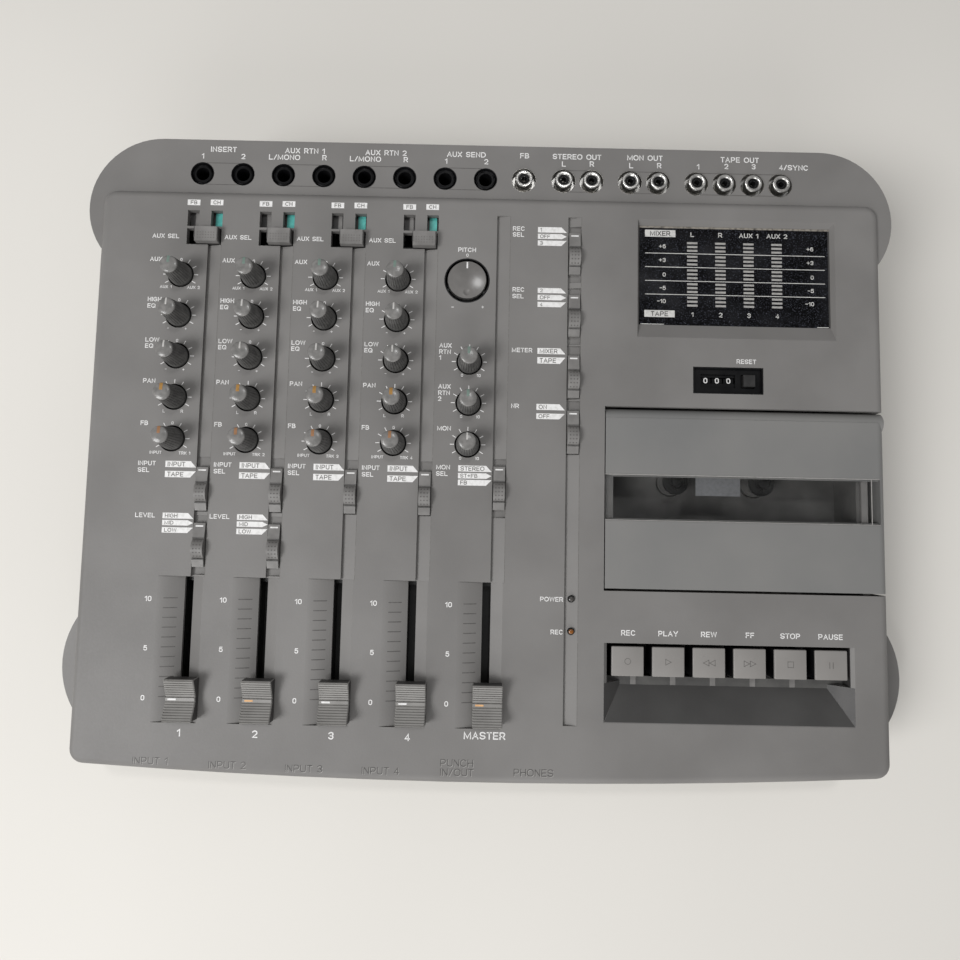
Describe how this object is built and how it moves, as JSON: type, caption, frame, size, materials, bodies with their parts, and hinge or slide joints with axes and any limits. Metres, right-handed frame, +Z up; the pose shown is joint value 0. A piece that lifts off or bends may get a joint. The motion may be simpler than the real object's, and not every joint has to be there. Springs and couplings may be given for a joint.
{
  "type": "four track cassette recorder",
  "caption": "Wedge-shaped cassette multitrack recorder with rotary knobs, sliding faders, slide switches, piano keys, hinged tape door, level meter and sockets.",
  "frame": {"origin": "middle of the footprint, on the surface that the feet stand on", "axes": "+X to the right and +Y to the rear as the user sits at it, +Z up; the panel slopes up to the rear by 4.5 degrees"},
  "size_m": [0.422, 0.306, 0.0824],
  "materials": {
    "case_grey": "fine matte texture",
    "knob_grey": "satin",
    "cap_grey": "satin",
    "key_grey": "satin",
    "black_plastic": "satin",
    "smoked_glass": "polished",
    "clear_window": "polished",
    "display_card": "matte",
    "board_laminate": "varnished",
    "steel": "plated",
    "foot_rubber": "matte"
  },
  "bodies": {
    "root": {"upper_case": "case_grey", "lower_case": "case_grey", "phone_jacks": "black_plastic", "phono_jacks": "steel", "dc_inlet": "black_plastic", "mixer_board": "board_laminate", "meter_window": "smoked_glass", "meter_display": "display_card", "tape_counter": "black_plastic", "cassette_tray": "black_plastic", "tape_transport": "steel", "rubber_feet": "foot_rubber"},
    "aux_knob_1": {"aux_knob_1": "knob_grey"},
    "aux_knob_2": {"aux_knob_2": "knob_grey"},
    "aux_knob_3": {"aux_knob_3": "knob_grey"},
    "aux_knob_4": {"aux_knob_4": "knob_grey"},
    "high_eq_knob_1": {"high_eq_knob_1": "knob_grey"},
    "high_eq_knob_2": {"high_eq_knob_2": "knob_grey"},
    "high_eq_knob_3": {"high_eq_knob_3": "knob_grey"},
    "high_eq_knob_4": {"high_eq_knob_4": "knob_grey"},
    "low_eq_knob_1": {"low_eq_knob_1": "knob_grey"},
    "low_eq_knob_2": {"low_eq_knob_2": "knob_grey"},
    "low_eq_knob_3": {"low_eq_knob_3": "knob_grey"},
    "low_eq_knob_4": {"low_eq_knob_4": "knob_grey"},
    "pan_knob_1": {"pan_knob_1": "knob_grey"},
    "pan_knob_2": {"pan_knob_2": "knob_grey"},
    "pan_knob_3": {"pan_knob_3": "knob_grey"},
    "pan_knob_4": {"pan_knob_4": "knob_grey"},
    "foldback_knob_1": {"foldback_knob_1": "knob_grey"},
    "foldback_knob_2": {"foldback_knob_2": "knob_grey"},
    "foldback_knob_3": {"foldback_knob_3": "knob_grey"},
    "foldback_knob_4": {"foldback_knob_4": "knob_grey"},
    "aux_return_1_knob": {"aux_return_1_knob": "knob_grey"},
    "aux_return_2_knob": {"aux_return_2_knob": "knob_grey"},
    "monitor_knob": {"monitor_knob": "knob_grey"},
    "pitch_knob": {"pitch_knob": "knob_grey"},
    "fader_cap_1": {"fader_cap_1": "cap_grey"},
    "fader_cap_2": {"fader_cap_2": "cap_grey"},
    "fader_cap_3": {"fader_cap_3": "cap_grey"},
    "fader_cap_4": {"fader_cap_4": "cap_grey"},
    "master_fader_cap": {"master_fader_cap": "cap_grey"},
    "input_select_sliders": {"input_select_sliders": "black_plastic"},
    "level_select_sliders": {"level_select_sliders": "black_plastic"},
    "monitor_select_slider": {"monitor_select_slider": "black_plastic"},
    "record_select_sliders": {"record_select_sliders": "black_plastic"},
    "meter_select_slider": {"meter_select_slider": "black_plastic"},
    "noise_reduction_slider": {"noise_reduction_slider": "black_plastic"},
    "aux_select_sliders": {"aux_select_sliders": "black_plastic"},
    "record_key": {"record_key": "key_grey"},
    "play_key": {"play_key": "key_grey"},
    "rewind_key": {"rewind_key": "key_grey"},
    "fast_forward_key": {"fast_forward_key": "key_grey"},
    "stop_key": {"stop_key": "key_grey"},
    "pause_key": {"pause_key": "key_grey"},
    "reset_button": {"reset_button": "black_plastic"},
    "cassette_door": {"cassette_door": "case_grey", "door_window": "clear_window"},
    "supply_spindle": {"supply_spindle": "black_plastic"},
    "takeup_spindle": {"takeup_spindle": "black_plastic"},
    "counter_wheels": {"counter_wheels": "black_plastic"}
  },
  "joints": [
    {"name": "aux_knob_1_turn", "type": "hinge", "parent": "root", "child": "aux_knob_1", "pos_m": [-0.1496, 0.08319, 0.06856], "axis": [0, -0.0785, 0.9969], "range_deg": [-150, 150]},
    {"name": "aux_knob_2_turn", "type": "hinge", "parent": "root", "child": "aux_knob_2", "pos_m": [-0.1145, 0.08319, 0.06856], "axis": [0, -0.0785, 0.9969], "range_deg": [-150, 150]},
    {"name": "aux_knob_3_turn", "type": "hinge", "parent": "root", "child": "aux_knob_3", "pos_m": [-0.0794, 0.08319, 0.06856], "axis": [0, -0.0785, 0.9969], "range_deg": [-150, 150]},
    {"name": "aux_knob_4_turn", "type": "hinge", "parent": "root", "child": "aux_knob_4", "pos_m": [-0.0443, 0.08319, 0.06856], "axis": [0, -0.0785, 0.9969], "range_deg": [-150, 150]},
    {"name": "high_eq_knob_1_turn", "type": "hinge", "parent": "root", "child": "high_eq_knob_1", "pos_m": [-0.1496, 0.06325, 0.06699], "axis": [0, -0.0785, 0.9969], "range_deg": [-150, 150]},
    {"name": "high_eq_knob_2_turn", "type": "hinge", "parent": "root", "child": "high_eq_knob_2", "pos_m": [-0.1145, 0.06325, 0.06699], "axis": [0, -0.0785, 0.9969], "range_deg": [-150, 150]},
    {"name": "high_eq_knob_3_turn", "type": "hinge", "parent": "root", "child": "high_eq_knob_3", "pos_m": [-0.0794, 0.06325, 0.06699], "axis": [0, -0.0785, 0.9969], "range_deg": [-150, 150]},
    {"name": "high_eq_knob_4_turn", "type": "hinge", "parent": "root", "child": "high_eq_knob_4", "pos_m": [-0.0443, 0.06325, 0.06699], "axis": [0, -0.0785, 0.9969], "range_deg": [-150, 150]},
    {"name": "low_eq_knob_1_turn", "type": "hinge", "parent": "root", "child": "low_eq_knob_1", "pos_m": [-0.1496, 0.04332, 0.06542], "axis": [0, -0.0785, 0.9969], "range_deg": [-150, 150]},
    {"name": "low_eq_knob_2_turn", "type": "hinge", "parent": "root", "child": "low_eq_knob_2", "pos_m": [-0.1145, 0.04332, 0.06542], "axis": [0, -0.0785, 0.9969], "range_deg": [-150, 150]},
    {"name": "low_eq_knob_3_turn", "type": "hinge", "parent": "root", "child": "low_eq_knob_3", "pos_m": [-0.0794, 0.04332, 0.06542], "axis": [0, -0.0785, 0.9969], "range_deg": [-150, 150]},
    {"name": "low_eq_knob_4_turn", "type": "hinge", "parent": "root", "child": "low_eq_knob_4", "pos_m": [-0.0443, 0.04332, 0.06542], "axis": [0, -0.0785, 0.9969], "range_deg": [-150, 150]},
    {"name": "pan_knob_1_turn", "type": "hinge", "parent": "root", "child": "pan_knob_1", "pos_m": [-0.1496, 0.02338, 0.06385], "axis": [0, -0.0785, 0.9969], "range_deg": [-150, 150]},
    {"name": "pan_knob_2_turn", "type": "hinge", "parent": "root", "child": "pan_knob_2", "pos_m": [-0.1145, 0.02338, 0.06385], "axis": [0, -0.0785, 0.9969], "range_deg": [-150, 150]},
    {"name": "pan_knob_3_turn", "type": "hinge", "parent": "root", "child": "pan_knob_3", "pos_m": [-0.0794, 0.02338, 0.06385], "axis": [0, -0.0785, 0.9969], "range_deg": [-150, 150]},
    {"name": "pan_knob_4_turn", "type": "hinge", "parent": "root", "child": "pan_knob_4", "pos_m": [-0.0443, 0.02338, 0.06385], "axis": [0, -0.0785, 0.9969], "range_deg": [-150, 150]},
    {"name": "foldback_knob_1_turn", "type": "hinge", "parent": "root", "child": "foldback_knob_1", "pos_m": [-0.1496, 0.00344, 0.06228], "axis": [0, -0.0785, 0.9969], "range_deg": [-150, 150]},
    {"name": "foldback_knob_2_turn", "type": "hinge", "parent": "root", "child": "foldback_knob_2", "pos_m": [-0.1145, 0.00344, 0.06228], "axis": [0, -0.0785, 0.9969], "range_deg": [-150, 150]},
    {"name": "foldback_knob_3_turn", "type": "hinge", "parent": "root", "child": "foldback_knob_3", "pos_m": [-0.0794, 0.00344, 0.06228], "axis": [0, -0.0785, 0.9969], "range_deg": [-150, 150]},
    {"name": "foldback_knob_4_turn", "type": "hinge", "parent": "root", "child": "foldback_knob_4", "pos_m": [-0.0443, 0.00344, 0.06228], "axis": [0, -0.0785, 0.9969], "range_deg": [-150, 150]},
    {"name": "aux_return_1_knob_turn", "type": "hinge", "parent": "root", "child": "aux_return_1_knob", "pos_m": [-0.0089, 0.04332, 0.06542], "axis": [0, -0.0785, 0.9969], "range_deg": [-150, 150]},
    {"name": "aux_return_2_knob_turn", "type": "hinge", "parent": "root", "child": "aux_return_2_knob", "pos_m": [-0.0089, 0.02338, 0.06385], "axis": [0, -0.0785, 0.9969], "range_deg": [-150, 150]},
    {"name": "monitor_knob_turn", "type": "hinge", "parent": "root", "child": "monitor_knob", "pos_m": [-0.0089, 0.00344, 0.06228], "axis": [0, -0.0785, 0.9969], "range_deg": [-150, 150]},
    {"name": "pitch_knob_turn", "type": "hinge", "parent": "root", "child": "pitch_knob", "pos_m": [-0.0109, 0.08319, 0.06856], "axis": [0, -0.0785, 0.9969], "range_deg": [-135, 135]},
    {"name": "fader_cap_1_slide", "type": "slide", "parent": "root", "child": "fader_cap_1", "axis": [0, 0.9969, 0.0785], "range_m": [0, 0.0452]},
    {"name": "fader_cap_2_slide", "type": "slide", "parent": "root", "child": "fader_cap_2", "axis": [0, 0.9969, 0.0785], "range_m": [0, 0.0452]},
    {"name": "fader_cap_3_slide", "type": "slide", "parent": "root", "child": "fader_cap_3", "axis": [0, 0.9969, 0.0785], "range_m": [0, 0.0452]},
    {"name": "fader_cap_4_slide", "type": "slide", "parent": "root", "child": "fader_cap_4", "axis": [0, 0.9969, 0.0785], "range_m": [0, 0.0452]},
    {"name": "master_fader_cap_slide", "type": "slide", "parent": "root", "child": "master_fader_cap", "axis": [0, 0.9969, 0.0785], "range_m": [0, 0.0452]},
    {"name": "input_select_sliders_slide", "type": "slide", "parent": "root", "child": "input_select_sliders", "axis": [0, 0.9969, 0.0785], "range_m": [0, 0.0045]},
    {"name": "level_select_sliders_slide", "type": "slide", "parent": "root", "child": "level_select_sliders", "axis": [0, 0.9969, 0.0785], "range_m": [-0.00325, 0.00325]},
    {"name": "monitor_select_slider_slide", "type": "slide", "parent": "root", "child": "monitor_select_slider", "axis": [0, 0.9969, 0.0785], "range_m": [-0.00325, 0.00325]},
    {"name": "record_select_sliders_slide", "type": "slide", "parent": "root", "child": "record_select_sliders", "axis": [0, 0.9969, 0.0785], "range_m": [-0.00325, 0.00325]},
    {"name": "meter_select_slider_slide", "type": "slide", "parent": "root", "child": "meter_select_slider", "axis": [0, 0.9969, 0.0785], "range_m": [0, 0.0045]},
    {"name": "noise_reduction_slider_slide", "type": "slide", "parent": "root", "child": "noise_reduction_slider", "axis": [0, 0.9969, 0.0785], "range_m": [0, 0.0045]},
    {"name": "aux_select_sliders_slide", "type": "slide", "parent": "root", "child": "aux_select_sliders", "axis": [-1, 0, 0], "range_m": [0, 0.0042]},
    {"name": "record_key_press", "type": "hinge", "parent": "root", "child": "record_key", "pos_m": [0.06775, -0.07179, 0.04182], "axis": [1, 0, 0], "range_deg": [0, 6], "stiffness_Nm_per_rad": 0.3, "springref_deg": -2.86},
    {"name": "play_key_press", "type": "hinge", "parent": "root", "child": "play_key", "pos_m": [0.0867, -0.07179, 0.04182], "axis": [1, 0, 0], "range_deg": [0, 6], "stiffness_Nm_per_rad": 0.3, "springref_deg": -2.86},
    {"name": "rewind_key_press", "type": "hinge", "parent": "root", "child": "rewind_key", "pos_m": [0.10565, -0.07179, 0.04182], "axis": [1, 0, 0], "range_deg": [0, 6], "stiffness_Nm_per_rad": 0.3, "springref_deg": -2.86},
    {"name": "fast_forward_key_press", "type": "hinge", "parent": "root", "child": "fast_forward_key", "pos_m": [0.1246, -0.07179, 0.04182], "axis": [1, 0, 0], "range_deg": [0, 6], "stiffness_Nm_per_rad": 0.3, "springref_deg": -2.86},
    {"name": "stop_key_press", "type": "hinge", "parent": "root", "child": "stop_key", "pos_m": [0.14355, -0.07179, 0.04182], "axis": [1, 0, 0], "range_deg": [0, 6], "stiffness_Nm_per_rad": 0.3, "springref_deg": -2.86},
    {"name": "pause_key_press", "type": "hinge", "parent": "root", "child": "pause_key", "pos_m": [0.1625, -0.07179, 0.04182], "axis": [1, 0, 0], "range_deg": [0, 6], "stiffness_Nm_per_rad": 0.3, "springref_deg": -2.86},
    {"name": "reset_button_slide", "type": "slide", "parent": "root", "child": "reset_button", "axis": [0, 0.0785, -0.9969], "range_m": [0, 0.0018], "stiffness_N_per_m": 200, "springref_m": -0.0005},
    {"name": "cassette_door_hinge", "type": "hinge", "parent": "root", "child": "cassette_door", "pos_m": [0.1234, 0.01831, 0.05819], "axis": [-1, 0, 0], "range_deg": [0, 75]},
    {"name": "supply_spindle_spin", "type": "hinge", "parent": "root", "child": "supply_spindle", "pos_m": [0.094, -0.00923, 0.03721], "axis": [0, -0.0785, 0.9969], "continuous": true},
    {"name": "takeup_spindle_spin", "type": "hinge", "parent": "root", "child": "takeup_spindle", "pos_m": [0.1365, -0.00923, 0.03721], "axis": [0, -0.0785, 0.9969], "continuous": true},
    {"name": "counter_wheels_spin", "type": "hinge", "parent": "root", "child": "counter_wheels", "pos_m": [0.11105, 0.03745, 0.05713], "axis": [1, 0, 0], "continuous": true}
  ],
  "couplings": [
    {"joint": "counter_wheels_spin", "follows": "takeup_spindle_spin", "ratio": -0.05}
  ]
}
